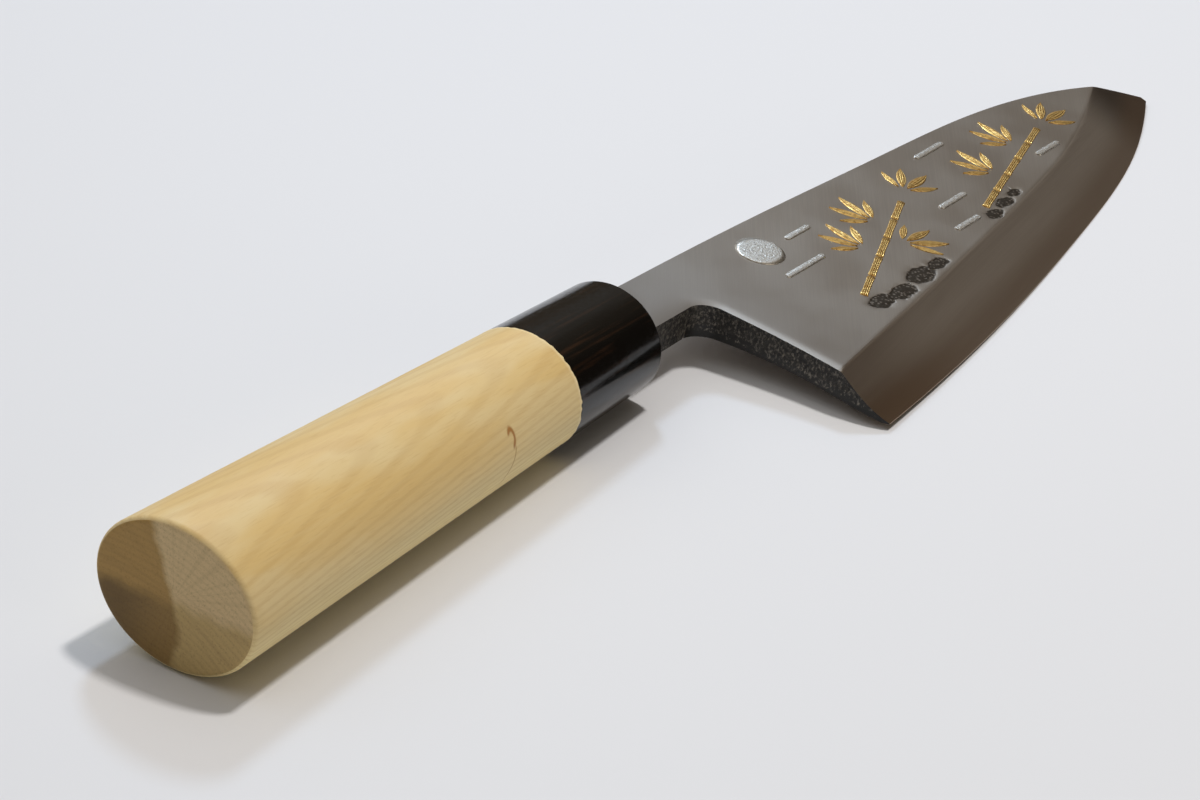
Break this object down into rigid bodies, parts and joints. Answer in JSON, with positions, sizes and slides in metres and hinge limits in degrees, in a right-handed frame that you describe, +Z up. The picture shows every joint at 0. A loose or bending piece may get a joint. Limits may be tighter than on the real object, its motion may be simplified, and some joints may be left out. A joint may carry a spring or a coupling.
{
  "type": "deba knife",
  "caption": "Heavy single-bevel kitchen knife for fish with a forge-welded blade, inlaid ground face, oval wooden handle and horn ferrule, lying on its hollow back.",
  "frame": {"origin": "middle of the knife's footprint, on the table it lies on", "axes": "+X towards the tip, +Y towards the spine, +Z up out of the ground face"},
  "size_m": [0.3375, 0.0682, 0.0284],
  "materials": {
    "soft_iron": "satin",
    "hard_steel": "satin",
    "magnolia_wood": "sanded, unvarnished",
    "horn": "polished",
    "resin_seal": "matte",
    "gold_inlay": "burnished",
    "silver_inlay": "burnished"
  },
  "bodies": {
    "root": {"blade_cladding": "soft_iron", "edge_steel": "hard_steel", "handle": "magnolia_wood", "ferrule": "horn", "tang_seal": "resin_seal", "leaf_inlay": "gold_inlay", "stem_inlay": "gold_inlay", "moon_inlay": "silver_inlay", "mist_inlay": "silver_inlay"}
  },
  "joints": []
}
